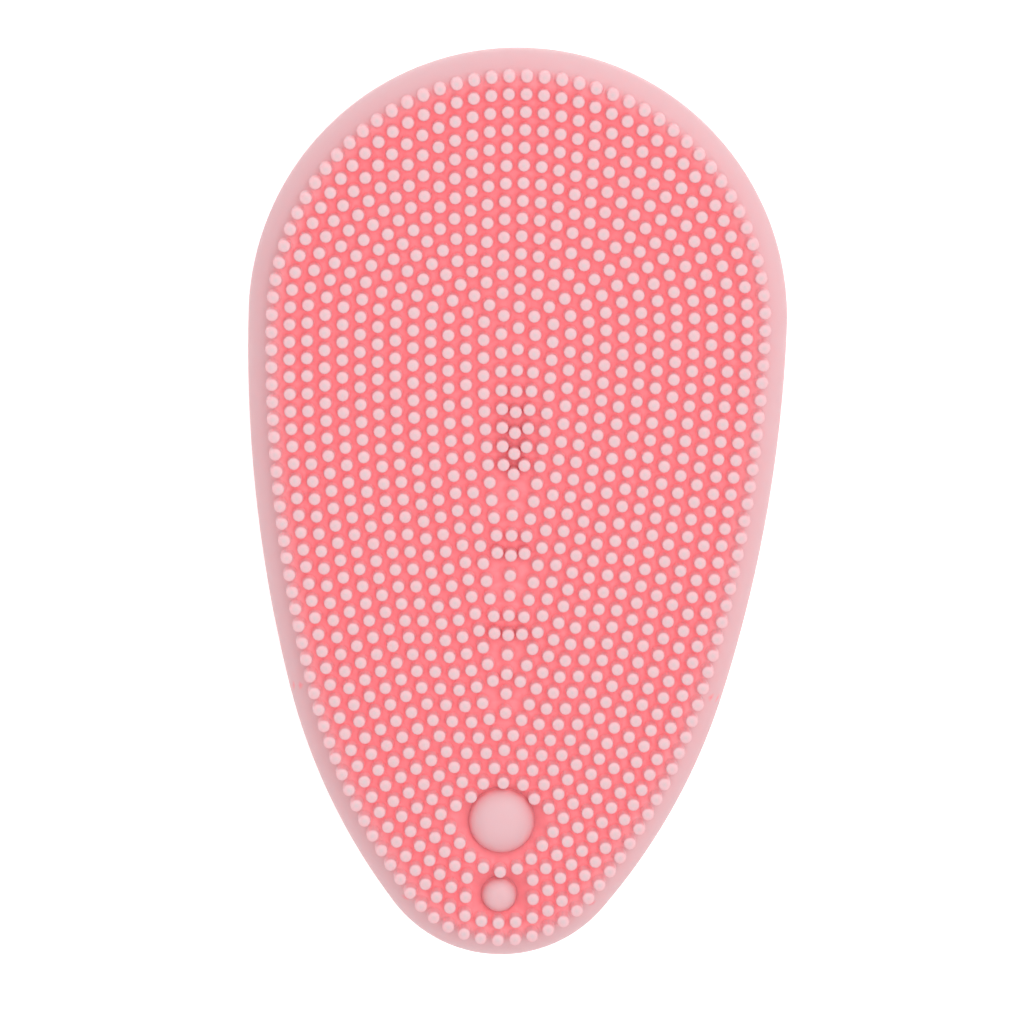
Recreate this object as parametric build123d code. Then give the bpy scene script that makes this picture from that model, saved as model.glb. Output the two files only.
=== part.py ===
from build123d import *
import os
from math import asin, atan2, ceil, cos, hypot, pi, sin, sqrt

# Handheld silicone facial cleansing brush with a vibration motor inside. It lies on its back: the
# bristle face looks up (+Z), the wide end points to +Y and the narrow end, with its keys, to -Y.
# The origin is on the rest face, under the middle of the outline. All sizes are in millimetres.

# --- Outline and body ---------------------------------------------------------------------------
LENGTH = 90.8            # wide end to narrow end
WIDTH = 53.3             # across the widest place
NARROW_RADIUS = 13.4     # round of the narrow end
SIDE_SHARE = 0.7346      # how much of the way between the ends' centres each side's long arc runs
SIDE_DROP = 5.074        # how far it draws in over that stretch
BODY_HEIGHT = 17.4       # rest face to the floor between the bristles
BACK_ROUND = 12.0        # round between the back and the sides
FRONT_ROUND = 3.4        # round between the bristle face and the sides
SKIN_WALL = 1.8          # silicone
SHELL_WALL = 1.4         # hard plastic under it
LEAST_ROUND = 0.3        # inside round where an outer round is thinner than its wall
LEAST_FLAT = 1.0         # what the back's round leaves of the side and of the rest face

# --- Bristles -----------------------------------------------------------------------------------
NUB_TIP_RADIUS = 0.55
NUB_BASE_RADIUS = 0.64
NUB_HEIGHT = 1.9
NUB_ROOT = 0.8           # how far a bristle's solid reaches down into the skin
RIM_MARGIN = 2.49        # outline to the middle of the outermost ring of bristles
RING_SPACING = 1.73      # ring to ring
NUB_PITCH = 1.73         # bristle to bristle along a ring
INNER_PITCH = 1.80       # the same on the rings that the middle row cuts short
INNER_RINGS = 3          # how many rings the middle row cuts short
ROW_PITCH_WIDE = 2.10    # bristle to bristle along the middle row, at its wide end
ROW_PITCH_NARROW = 1.93  # the same at its narrow end
NUB_CLEARANCE = 0.09     # least gap between a ring's bristle and the middle row's
NUB_NUDGE = 0.35         # furthest that a ring's bristle is moved aside to keep that gap

# --- Keys (moulded with the skin, each on a thin web) ---------------------------------------------
POWER_KEY_RADIUS = 3.2
SPEED_KEY_RADIUS = 1.7
POWER_KEY_FROM_CENTRE = 0.95   # from the narrow end's centre towards the wide end
KEY_SPACING = 7.48             # power key to speed key
KEY_CROWN_TOP = 1.7            # top of a key above the bristle floor, just under the bristle tips
KEY_CROWN_EDGE = 0.8           # edge of its crown above the bristle floor
KEY_GAP = 0.12                 # key to the wall of its hole in the skin
KEY_SURROUND = 0.03            # that wall to the foot of the nearest bristle
KEY_TRAVEL = 0.4
KEY_HEADROOM = 0.6             # under the key's head, at rest
WEB_THICKNESS = 0.35
POWER_STEM_RADIUS = 1.4
SPEED_STEM_RADIUS = 0.9
STEM_GAP = 0.4                 # stem to its hole in the front shell

# --- Circuit board and what it carries ------------------------------------------------------------
BOARD_GAP = 0.6          # board edge to the shell
BOARD_THICKNESS = 1.0
BOARD_HEADROOM = 3.0     # board top to the front shell's roof
BOARD_END = 10.0         # wide-end edge of the board, from the middle of the outline
BOARD_NOTCH_GAP = 0.4    # board to the bosses that pass through it
SWITCH_HEIGHT = 1.5
POWER_SWITCH_SIDE = 4.0
SPEED_SWITCH_SIDE = 2.8
PLUNGER_RADIUS = 0.7
PLUNGER_RISE = 0.6       # plunger above the switch body, at rest
PLUNGER_GAP = 0.05       # plunger to its bore
PLUNGER_REST = 0.1       # left under the plunger at the end of its travel
LED_SIZE = (1.6, 0.8, 0.6)
LED_FROM_KEY = 3.2       # status light from the power key's edge
LED_GAP = 0.3            # status light to its light pipe
CONTROL_CHIP = dict(side=4.0, height=0.9)
CHARGER_CHIP = dict(side=3.0, height=0.9)
CHIP_X = 7.0             # each chip from the middle plane
CHIP_Y = -8.0
CHIP_STANDOFF = 0.1
CHIP_LEG = (0.5, 0.25, 0.3)
COMPONENT_SIZE = (1.6, 0.8, 0.6)
COMPONENT_X = 13.5       # each row of small components from the middle plane
COMPONENT_PITCH = 2.0
SOCKET_SIZE = (5.0, 3.0, 1.8)
SOCKET_X = 4.5           # battery socket and its leads, beside the motor clamp's foot
LEAD_SPREAD = 1.0        # each battery lead from the socket's middle
LIGHT_PIPE_RADIUS = 1.0
LIGHT_PIPE_FLANGE = 0.5
LIGHT_PIPE_FLANGE_THICKNESS = 0.6

# --- Battery ----------------------------------------------------------------------------------------
BATTERY_SIZE = (20.0, 30.0, 5.0)
BATTERY_ROUND = 1.6
PAD_THICKNESS = 0.8
PAD_MARGIN = 2.0         # cell's edge to the pad's
LEAD_RADIUS = 0.4
BATTERY_LEAD_REACH = 2.6 # how far the leads stand out past the cell
BATTERY_LEAD_BEND = 2.0

# --- Vibration motor --------------------------------------------------------------------------------
MOTOR_RADIUS = 3.5
MOTOR_LENGTH = 14.0
MOTOR_FROM_CENTRE = 5.2  # motor's axis from the wide end's centre
MOTOR_OFFSET = -2.0      # middle of the motor case, across the brush
CAN_WALL = 0.3
CAP_THICKNESS = 1.0
SHAFT_RADIUS = 0.5
SHAFT_GAP = 0.03         # running clearance in the bushes
BUSH_RADIUS = 1.1
BUSH_STANDOUT = 0.7      # front bush in front of the case
COMMUTATOR_RADIUS = 0.9
COMMUTATOR_LENGTH = 1.4
COMMUTATOR_GAP = 0.6     # end cap to the commutator
BRUSH_SIZE = (1.6, 0.2, 0.8)
BRUSH_GAP = 0.05         # brush leaf to the commutator
MAGNET_BORE = 0.8
MAGNET_GAP = 0.5         # coil's closed end to the magnet
MAGNET_AIR_GAP = 0.3     # magnet to the coil round it
COIL_GAP = 0.4           # coil to the case round it
COIL_WALL = 0.4
COIL_END_WALL = 0.5
COIL_END_GAP = 1.0       # coil's open end to the front of the case
SHAFT_END_GAP = 0.1      # shaft's end inside the end cap
SLEEVE_MARGIN = 0.5      # case's ends outside the sleeve
SLEEVE_WALL = 0.7
CRADLE_RISE = 0.6        # sleeve above the rear shell's floor
WEIGHT_RADIUS = 3.2
WEIGHT_LENGTH = 5.0
WEIGHT_GAP = 1.2         # motor case to the weight
WEIGHT_HUB_WALL = 0.6
WEIGHT_CUT = 0.2         # flat of the weight below the shaft's axis
CRADLE_WIDTH = 1.4
CRADLE_SHOULDER = 1.0    # cradle rib beyond the sleeve, on each side
CLAMP_WIDTH = 4.0
CLAMP_THICKNESS = 0.8
CLAMP_SCREW_REACH = 7.0  # clamp screws from the motor's axis
MOTOR_LEAD_REACH = 1.7   # motor case to its leads' run along the side
MOTOR_LEAD_BEND = 0.55
MOTOR_LEAD_RISES = (-2.4, 0.6)   # each lead from the motor's axis
MOTOR_LEAD_INLET = 2.0   # leads' ends inside the board's edge

# --- Fastenings and seal ----------------------------------------------------------------------------
SMALL_SCREW = dict(shank=0.65, head=1.3, head_height=0.9)
SHELL_SCREW = dict(shank=0.80, head=1.8, head_height=1.4)
SCREW_GAP = 0.02         # screw to its pilot hole
SHANK_GAP = 0.2          # screw to a hole that it passes through
HEAD_GAP = 0.15          # screw's head to its counterbore
RECESS_RADIUS = 0.5      # drive recess in a screw's head
RECESS_DEPTH = 0.4
PILOT_FLOOR = 1.0        # left under a pilot hole
SHELL_SCREW_STOP = 1.4   # shell screw's tip to the roof
BOARD_SCREW_STOP = 2.0   # board screw's tip to the floor
CLAMP_SCREW_STOP = 1.6   # clamp screw's tip to the floor
SCREW_SEAT_RISE = 0.3    # seat of the shell screws above the floor
BOSS_RADIUS = 1.8
TOWER_RADIUS = 2.8
FRONT_BOSS_RADIUS = 2.2
TOWER_TOP = 9.4          # where the rear towers meet the front bosses
WIDE_SCREW_X = 14.5      # shell screws near the wide end
WIDE_SCREW_FROM_CELL = 2.4
NARROW_SCREW_INSET = 12.6        # shell screws near the narrow end, across to the outline
NARROW_SCREW_FROM_CENTRE = 10.0  # and from the narrow end's centre
SIDE_POST_Y = 4.0        # board posts beside the cell
POST_FROM_CELL = 1.4     # board post at the cell's narrow end, to the cell
GASKET_WIDTH = 0.6
GASKET_HEIGHT = 0.6

# --- Charging contacts ------------------------------------------------------------------------------
CONTACT_RADIUS = 1.6
CONTACT_HEAD = 0.8
CONTACT_STEM = 0.7
CONTACT_SPREAD = 3.0     # each contact from the middle plane
CONTACT_FROM_CENTRE = 6.0
CONTACT_RISE = 1.2       # contact's stem above the shell's floor
MAGNET_DISC = dict(radius=1.8, height=1.5)
MAGNET_SPACING = 3.6     # holding magnets, each way from the contacts

# --- Places worked out from the sizes above -----------------------------------------------------------
OVERSHOOT = 1.0          # how far a cut runs out past what it cuts
WIDE_Y = LENGTH / 2 - WIDTH / 2
NARROW_Y = NARROW_RADIUS - LENGTH / 2
SIDE_RUN = SIDE_SHARE * (WIDE_Y - NARROW_Y)
SIDE_RADIUS = (SIDE_RUN**2 + SIDE_DROP**2) / (2 * SIDE_DROP)
BACK_RADIUS = min(BACK_ROUND, BODY_HEIGHT - FRONT_ROUND - LEAST_FLAT, NARROW_RADIUS - LEAST_FLAT)
SEAM_Z = (BACK_RADIUS + BODY_HEIGHT - FRONT_ROUND) / 2
CAVITY_INSET = SKIN_WALL + SHELL_WALL
FLOOR_Z = CAVITY_INSET
ROOF_Z = BODY_HEIGHT - CAVITY_INSET
SKIN_UNDERSIDE = BODY_HEIGHT - SKIN_WALL
BOARD_TOP = ROOF_Z - BOARD_HEADROOM
BOARD_BOTTOM = BOARD_TOP - BOARD_THICKNESS
PLUNGER_TOP = BOARD_TOP + SWITCH_HEIGHT + PLUNGER_RISE
POWER_KEY_Y = NARROW_Y + POWER_KEY_FROM_CENTRE
SPEED_KEY_Y = POWER_KEY_Y - KEY_SPACING
LED_Y = POWER_KEY_Y + POWER_KEY_RADIUS + LED_FROM_KEY
SLEEVE_RADIUS = MOTOR_RADIUS + SLEEVE_WALL
COIL_RADIUS = MOTOR_RADIUS - CAN_WALL - COIL_GAP
MAGNET_RADIUS = COIL_RADIUS - COIL_WALL - MAGNET_AIR_GAP
MOTOR_Y = WIDE_Y + MOTOR_FROM_CENTRE
MOTOR_Z = FLOOR_Z + CRADLE_RISE + SLEEVE_RADIUS
CAN_START = MOTOR_OFFSET - MOTOR_LENGTH / 2
CAN_END = MOTOR_OFFSET + MOTOR_LENGTH / 2
BATTERY_BOTTOM = FLOOR_Z + PAD_THICKNESS
BATTERY_HALF = BATTERY_SIZE[1] / 2
BATTERY_Y = 0.0
SOCKET_Y = BOARD_END - SOCKET_SIZE[1]
CONTACT_Y = NARROW_Y + CONTACT_FROM_CENTRE
CONTACT_STEM_TOP = FLOOR_Z + CONTACT_RISE
NARROW_SCREW_Y = NARROW_Y + NARROW_SCREW_FROM_CENTRE
WIDE_SCREW_Y = BATTERY_Y + BATTERY_HALF + WIDE_SCREW_FROM_CELL
END_POST_Y = BATTERY_Y - BATTERY_HALF - BOSS_RADIUS - POST_FROM_CELL
SHELL_BED = SKIN_WALL + SHELL_WALL / 2     # where a boss starts inside the rear shell's wall
SHELL_SCREW_SEAT = FLOOR_Z + SCREW_SEAT_RISE
MAGNET_END = CAN_END - CAN_WALL
COMMUTATOR_START = CAN_START + CAP_THICKNESS + COMMUTATOR_GAP
COIL_START = COMMUTATOR_START + COMMUTATOR_LENGTH
WEIGHT_START = CAN_END + WEIGHT_GAP
WEIGHT_END = WEIGHT_START + WEIGHT_LENGTH
BOARD_POSTS = [(-WIDE_SCREW_X, SIDE_POST_Y), (WIDE_SCREW_X, SIDE_POST_Y), (0.0, END_POST_Y)]
CLAMP_SCREWS = [(MOTOR_OFFSET, MOTOR_Y + sign * CLAMP_SCREW_REACH) for sign in (-1, 1)]
KEYS = [
    (POWER_KEY_Y, POWER_KEY_RADIUS, POWER_STEM_RADIUS),
    (SPEED_KEY_Y, SPEED_KEY_RADIUS, SPEED_STEM_RADIUS),
]


# --- Outline ------------------------------------------------------------------------------------------
def heading(angle):
    """Unit vector at an angle counted from +Y, clockwise."""
    return Vector(sin(angle), cos(angle))


def egg_arcs():
    """The four tangent arcs of the right half, wide end first: centre, radius, start, end."""
    wide = Vector(0, WIDE_Y)
    narrow = Vector(0, NARROW_Y)
    side = wide - Vector(SIDE_RADIUS - WIDTH / 2, 0)
    turn = pi / 2 + asin(SIDE_RUN / SIDE_RADIUS)
    joint = side + heading(turn) * SIDE_RADIUS
    reach = joint - narrow
    flank_radius = (reach.dot(reach) - NARROW_RADIUS**2) / (2 * (reach.dot(heading(turn)) - NARROW_RADIUS))
    flank = joint - heading(turn) * flank_radius
    last = atan2((narrow - flank).X, (narrow - flank).Y)
    return [
        (wide, WIDTH / 2, 0, pi / 2),
        (side, SIDE_RADIUS, pi / 2, turn),
        (flank, flank_radius, turn, last),
        (narrow, NARROW_RADIUS, last, pi),
    ]


def half_ring(inset):
    """The right half of the outline moved inwards, cut off where it would cross the middle plane."""
    pieces = []
    for centre, radius, start, end in egg_arcs():
        radius -= inset
        if radius <= 0:
            continue
        if centre.X < 0:
            if -centre.X >= radius:
                continue
            cross = asin(-centre.X / radius)
            start = max(start, cross)
            end = min(end, pi - cross)
        if end > start:
            pieces.append((centre, radius, start, end))
    return pieces


def mirrored(point):
    return Vector(-point.X, point.Y)


def half_width(y):
    """Middle plane to the outline, along one of its side arcs."""
    _, side, flank, _ = egg_arcs()
    centre, radius, start, _ = flank
    if y > (centre + heading(start) * radius).Y:
        centre, radius = side[:2]
    return centre.X + sqrt(radius**2 - (y - centre.Y) ** 2)


def outline(inset):
    """Closed face of the whole outline, moved inwards."""
    wide, side, flank, narrow = half_ring(inset)
    edges = [ThreePointArc(*(wide[0] + heading(a) * wide[1] for a in (-pi / 2, 0, pi / 2)))]
    for centre, radius, start, end in (side, flank):
        points = [centre + heading(a) * radius for a in (start, (start + end) / 2, end)]
        edges.append(ThreePointArc(*points))
        edges.append(ThreePointArc(*(mirrored(p) for p in points)))
    centre, radius, start, _ = narrow
    edges.append(ThreePointArc(*(centre + heading(a) * radius for a in (start, pi, 2 * pi - start))))
    return make_face(edges)


def body_shape(inset):
    """The rounded body as one solid, moved inwards on every side."""
    block = extrude(Pos(0, 0, inset) * outline(inset), BODY_HEIGHT - 2 * inset)
    levels = block.edges().group_by(Axis.Z)
    block = fillet(levels[-1], max(FRONT_ROUND - inset, LEAST_ROUND))
    levels = block.edges().group_by(Axis.Z)
    return fillet(levels[0], max(BACK_RADIUS - inset, LEAST_ROUND))


def slab(low, high):
    """A block wider than the brush, between two heights."""
    return Pos(0, 0, (low + high) / 2) * Box(2 * LENGTH, 2 * LENGTH, high - low)


def above(height):
    return slab(height, height + 2 * LENGTH)


def below(height):
    return slab(height - 2 * LENGTH, height)


NARROW_SCREW_X = half_width(NARROW_SCREW_Y) - NARROW_SCREW_INSET
SHELL_SCREWS = [(s * WIDE_SCREW_X, WIDE_SCREW_Y) for s in (-1, 1)]
SHELL_SCREWS += [(s * NARROW_SCREW_X, NARROW_SCREW_Y) for s in (-1, 1)]


# --- Small shapes used again and again ------------------------------------------------------------------
def disc(x, y, low, high, radius):
    """Upright cylinder between two heights."""
    return Pos(x, y, (low + high) / 2) * Cylinder(radius, high - low)


def tube(x, y, low, high, outer, inner):
    return disc(x, y, low, high, outer) - disc(x, y, low, high, inner)


def block(x, y, low, size):
    """Box that stands on a height."""
    return Pos(x, y, low + size[2] / 2) * Box(*size)


def cross_disc(start, end, radius):
    """Cylinder on the motor's axis, between two places across the brush."""
    return Pos((start + end) / 2, MOTOR_Y, MOTOR_Z) * Rot(0, 90, 0) * Cylinder(radius, end - start)


def cross_tube(start, end, outer, inner):
    return cross_disc(start, end, outer) - cross_disc(start, end, inner)


def wire(points, bend):
    """Round lead along straight runs with tangent bends."""
    path = FilletPolyline(*points, radius=bend) if len(points) > 2 else Line(*points)
    return sweep(Plane(path @ 0, z_dir=path % 0) * Circle(LEAD_RADIUS), path)


def screw(x, y, seat, tip, size, head_up=True):
    """Pan-head screw: its head rests on seat and its shank ends at tip."""
    sign = 1 if head_up else -1
    head_end = seat + sign * size["head_height"]
    head = disc(x, y, min(seat, head_end), max(seat, head_end), size["head"])
    shank = disc(x, y, min(seat, tip), max(seat, tip), size["shank"])
    recess_end = head_end - sign * RECESS_DEPTH
    recess = disc(x, y, min(head_end, recess_end), max(head_end, recess_end), RECESS_RADIUS)
    return head + shank - recess


def together(solids):
    """Separate solids kept as one node."""
    return Compound(children=[solid for part in solids for solid in part.solids()])


# --- Bristle pattern --------------------------------------------------------------------------------------
def ring_places(inset, pitch):
    """Even steps along the ring at this inset, from the wide end to the narrow end and mirrored."""
    pieces = half_ring(inset)
    total = sum(radius * (end - start) for _, radius, start, end in pieces)
    steps = max(1, round(total / pitch))
    places = []
    for step in range(steps + 1):
        left = total * step / steps
        for centre, radius, start, end in pieces:
            run = radius * (end - start)
            if left <= run + 1e-9:
                place = centre + heading(start + left / radius) * radius
                break
            left -= run
        places.append(place)
        if place.X > NUB_TIP_RADIUS:
            places.append(mirrored(place))
    return places


def middle_row(top, bottom):
    """Bristles down the middle plane, with steps that shrink evenly towards the narrow end."""
    mean_pitch = (ROW_PITCH_WIDE + ROW_PITCH_NARROW) / 2
    steps = round((top - bottom) / mean_pitch)
    shares = [step / steps for step in range(steps)]
    first = ROW_PITCH_WIDE / mean_pitch
    return [Vector(0, top + (bottom - top) * (first * t + (1 - first) * t * t)) for t in shares]


def beside_row(place, row):
    """The place itself, or moved aside from the middle row, or None where there is no room."""
    nearest = min(row, key=lambda other: (place - other).length)
    least = 2 * NUB_BASE_RADIUS + NUB_CLEARANCE
    if (place - nearest).length >= least:
        return place
    across = sqrt(least**2 - (place.Y - nearest.Y) ** 2)
    if across - abs(place.X) > NUB_NUDGE:
        return None
    return Vector(across if place.X > 0 else -across, place.Y)


def nub_places():
    """Every bristle's middle: rings parallel to the outline, and a row along the middle plane."""
    ring_count = ceil((WIDTH / 2 - RIM_MARGIN) / RING_SPACING)
    insets = [RIM_MARGIN + RING_SPACING * ring for ring in range(ring_count)]
    outer = [ring_places(inset, NUB_PITCH) for inset in insets[:-INNER_RINGS]]
    inner = [ring_places(inset, INNER_PITCH) for inset in insets[-INNER_RINGS:]]
    row = middle_row(inner[-1][0].Y, min(place.Y for place in outer[-1]))
    rings = [beside_row(place, row) for ring in outer + inner for place in ring]
    kept = [place for place in rings if place is not None]
    surround = KEY_GAP + KEY_SURROUND + NUB_BASE_RADIUS
    return [
        place
        for place in kept + row
        if all(hypot(place.X, place.Y - key_y) > radius + surround for key_y, radius, _ in KEYS)
    ]


# --- Silicone skins and keys ----------------------------------------------------------------------------
OUTER = body_shape(0)
MIDDLE = body_shape(SKIN_WALL)
INNER = body_shape(CAVITY_INSET)


def front_skin():
    skin = (OUTER - MIDDLE) & above(SEAM_Z)
    for key_y, radius, _ in KEYS:
        skin -= disc(0, key_y, SKIN_UNDERSIDE - OVERSHOOT, BODY_HEIGHT + OVERSHOOT, radius + KEY_GAP)
    root = BODY_HEIGHT - NUB_ROOT
    nub = Solid.make_cone(NUB_BASE_RADIUS, NUB_TIP_RADIUS, NUB_HEIGHT + NUB_ROOT, Plane((0, 0, root)))
    return skin.fuse(*(nub.moved(Location((place.X, place.Y, 0))) for place in nub_places()))


def rear_skin():
    skin = (OUTER - MIDDLE) & below(SEAM_Z)
    for x in (-CONTACT_SPREAD, CONTACT_SPREAD):
        skin -= disc(x, CONTACT_Y, -OVERSHOOT, SKIN_WALL + OVERSHOOT, CONTACT_RADIUS)
    return skin


def key(key_y, radius, stem):
    """Key head with a low crown, on a stem that reaches its switch."""
    edge = BODY_HEIGHT + KEY_CROWN_EDGE
    top = BODY_HEIGHT + KEY_CROWN_TOP
    under = SKIN_UNDERSIDE + KEY_HEADROOM
    rise = top - edge
    crown = (radius**2 + rise**2) / (2 * rise)
    shoulder = (radius / 2, 0, top - crown + sqrt(crown**2 - radius**2 / 4))
    corners = [(0, 0, top), (0, 0, PLUNGER_TOP), (stem, 0, PLUNGER_TOP), (stem, 0, under)]
    corners += [(radius, 0, under), (radius, 0, edge)]
    profile = make_face([*Polyline(*corners).edges(), ThreePointArc(corners[-1], shoulder, corners[0])])
    return Pos(0, key_y, 0) * revolve(profile, Axis.Z)


def key_web(key_y, radius, stem):
    return tube(0, key_y, SKIN_UNDERSIDE, SKIN_UNDERSIDE + WEB_THICKNESS, radius + KEY_GAP, stem)


# --- Hard shells and their seal ---------------------------------------------------------------------------
def gasket_space():
    margin = SKIN_WALL + (SHELL_WALL - GASKET_WIDTH) / 2
    ring = outline(margin) - outline(margin + GASKET_WIDTH)
    return extrude(Pos(0, 0, SEAM_Z - GASKET_HEIGHT / 2) * ring, GASKET_HEIGHT)


def front_shell():
    shell = (MIDDLE - INNER) & above(SEAM_Z)
    shell -= gasket_space()
    for x, y in SHELL_SCREWS:
        shell += disc(x, y, TOWER_TOP, ROOF_Z + SHELL_WALL / 2, FRONT_BOSS_RADIUS)
        shell -= disc(x, y, TOWER_TOP - OVERSHOOT, ROOF_Z - PILOT_FLOOR, SHELL_SCREW["shank"] + SCREW_GAP)
    for key_y, _, stem in KEYS:
        shell -= disc(0, key_y, ROOF_Z - OVERSHOOT, SKIN_UNDERSIDE + OVERSHOOT, stem + STEM_GAP)
    return shell - disc(0, LED_Y, ROOF_Z - OVERSHOOT, SKIN_UNDERSIDE + OVERSHOOT, LIGHT_PIPE_RADIUS)


def rear_shell():
    shell = (MIDDLE - INNER) & below(SEAM_Z)
    shell -= gasket_space()
    for x, y in SHELL_SCREWS:
        shell += disc(x, y, SHELL_BED, TOWER_TOP, TOWER_RADIUS)
        shell -= disc(x, y, SKIN_WALL - OVERSHOOT, SHELL_SCREW_SEAT, SHELL_SCREW["head"] + HEAD_GAP)
        shell -= disc(x, y, SHELL_SCREW_SEAT, TOWER_TOP + OVERSHOOT, SHELL_SCREW["shank"] + SHANK_GAP)
    for places, top in ((BOARD_POSTS, BOARD_BOTTOM), (CLAMP_SCREWS, MOTOR_Z)):
        for x, y in places:
            shell += disc(x, y, SHELL_BED, top, BOSS_RADIUS)
            shell -= disc(x, y, FLOOR_Z + PILOT_FLOOR, top + OVERSHOOT, SMALL_SCREW["shank"] + SCREW_GAP)
    rib_size = (CRADLE_WIDTH, 2 * (SLEEVE_RADIUS + CRADLE_SHOULDER), MOTOR_Z - SHELL_BED)
    for x in (CAN_START + CRADLE_WIDTH, CAN_END - CRADLE_WIDTH):
        rib = block(x, MOTOR_Y, SHELL_BED, rib_size)
        shell += rib - cross_disc(x - CRADLE_WIDTH, x + CRADLE_WIDTH, SLEEVE_RADIUS)
    for x in (-CONTACT_SPREAD, CONTACT_SPREAD):
        shell -= disc(x, CONTACT_Y, SKIN_WALL - OVERSHOOT, FLOOR_Z + OVERSHOOT, CONTACT_STEM)
    return shell


def shell_screws():
    tip = ROOF_Z - SHELL_SCREW_STOP
    return together([screw(x, y, SHELL_SCREW_SEAT, tip, SHELL_SCREW, head_up=False) for x, y in SHELL_SCREWS])


# --- Circuit board ------------------------------------------------------------------------------------------
def circuit_board():
    board = extrude(Pos(0, 0, BOARD_BOTTOM) * outline(CAVITY_INSET + BOARD_GAP), BOARD_THICKNESS)
    board &= Pos(0, BOARD_END - LENGTH, 0) * Box(2 * WIDTH, 2 * LENGTH, 4 * BODY_HEIGHT)
    low, high = BOARD_BOTTOM - OVERSHOOT, BOARD_TOP + OVERSHOOT
    for x, y in SHELL_SCREWS:
        board -= disc(x, y, low, high, FRONT_BOSS_RADIUS + BOARD_NOTCH_GAP)
    for x, y in BOARD_POSTS:
        board -= disc(x, y, low, high, SMALL_SCREW["shank"] + SHANK_GAP)
    return board


def board_screws():
    tip = FLOOR_Z + BOARD_SCREW_STOP
    return together([screw(x, y, BOARD_TOP, tip, SMALL_SCREW) for x, y in BOARD_POSTS])


def switch_body(key_y, side):
    body = block(0, key_y, BOARD_TOP, (side, side, SWITCH_HEIGHT))
    top = BOARD_TOP + SWITCH_HEIGHT + OVERSHOOT
    return body - disc(0, key_y, BOARD_TOP - OVERSHOOT, top, PLUNGER_RADIUS + PLUNGER_GAP)


def switch_plunger(key_y):
    return disc(0, key_y, BOARD_TOP + KEY_TRAVEL + PLUNGER_REST, PLUNGER_TOP, PLUNGER_RADIUS)


def light_pipe():
    """Clear plug in the front shell, with a flange under the roof, above the status light."""
    plug = disc(0, LED_Y, BOARD_TOP + LED_SIZE[2] + LED_GAP, SKIN_UNDERSIDE, LIGHT_PIPE_RADIUS)
    flange_radius = LIGHT_PIPE_RADIUS + LIGHT_PIPE_FLANGE
    return plug + disc(0, LED_Y, ROOF_Z - LIGHT_PIPE_FLANGE_THICKNESS, ROOF_Z, flange_radius)


def chip(x, side, height):
    """Square chip with a row of four legs along two sides, each leg half under the body."""
    body = block(x, CHIP_Y, BOARD_TOP + CHIP_STANDOFF, (side, side, height))
    legs = [
        block(x + sign * side / 2, CHIP_Y + step * side / 4, BOARD_TOP, CHIP_LEG)
        for sign in (-1, 1)
        for step in (-1.5, -0.5, 0.5, 1.5)
    ]
    return body.fuse(*legs)


def small_components():
    """Capacitors and resistors in two short rows beside the chips."""
    ys = [CHIP_Y + step * COMPONENT_PITCH for step in range(4)]
    return together([block(x, y, BOARD_TOP, COMPONENT_SIZE) for x in (-COMPONENT_X, COMPONENT_X) for y in ys])


def battery_socket():
    return block(SOCKET_X, SOCKET_Y, BOARD_TOP, SOCKET_SIZE)


# --- Battery --------------------------------------------------------------------------------------------------
def battery():
    cell = block(0, BATTERY_Y, BATTERY_BOTTOM, BATTERY_SIZE)
    return fillet(cell.edges().filter_by(Axis.Y), BATTERY_ROUND)


def battery_pad():
    width, length = (side - 2 * PAD_MARGIN for side in BATTERY_SIZE[:2])
    return block(0, BATTERY_Y, FLOOR_Z, (width, length, PAD_THICKNESS))


def battery_leads():
    """Two leads from the cell's end, up past the board's edge and back into the socket."""
    low = BATTERY_BOTTOM + BATTERY_SIZE[2] / 2
    high = BOARD_TOP + SOCKET_SIZE[2] / 2
    start = BATTERY_Y + BATTERY_HALF
    out = start + BATTERY_LEAD_REACH
    end = SOCKET_Y + SOCKET_SIZE[1] / 2
    places = [SOCKET_X - LEAD_SPREAD, SOCKET_X + LEAD_SPREAD]
    routes = [[(x, start, low), (x, out, low), (x, out, high), (x, end, high)] for x in places]
    return together([wire(route, BATTERY_LEAD_BEND) for route in routes])


# --- Vibration motor ------------------------------------------------------------------------------------------
def motor_case():
    can = cross_disc(CAN_START, CAN_END, MOTOR_RADIUS)
    can -= cross_disc(CAN_START - OVERSHOOT, CAN_END - CAN_WALL, MOTOR_RADIUS - CAN_WALL)
    return can - cross_disc(CAN_END - OVERSHOOT, CAN_END + OVERSHOOT, BUSH_RADIUS)


def motor_end_cap():
    return cross_tube(CAN_START, CAN_START + CAP_THICKNESS, MOTOR_RADIUS - CAN_WALL, BUSH_RADIUS)


def motor_bushes():
    bore = SHAFT_RADIUS + SHAFT_GAP
    rear = cross_tube(CAN_START, CAN_START + CAP_THICKNESS, BUSH_RADIUS, bore)
    front = cross_tube(CAN_END - CAN_WALL, CAN_END + BUSH_STANDOUT, BUSH_RADIUS, bore)
    return together([rear, front])


def motor_magnet():
    """Fixed magnet on the case's front wall; the coil turns round it."""
    return cross_tube(COIL_START + COIL_END_WALL + MAGNET_GAP, MAGNET_END, MAGNET_RADIUS, MAGNET_BORE)


def motor_coil():
    """Cup-shaped coil on the shaft, open towards the front of the case."""
    cup = cross_disc(COIL_START, CAN_END - COIL_END_GAP, COIL_RADIUS)
    cup -= cross_disc(COIL_START + COIL_END_WALL, CAN_END, COIL_RADIUS - COIL_WALL)
    return cup - cross_disc(CAN_START, CAN_END, SHAFT_RADIUS)


def motor_commutator():
    return cross_tube(COMMUTATOR_START, COIL_START, COMMUTATOR_RADIUS, SHAFT_RADIUS)


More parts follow.
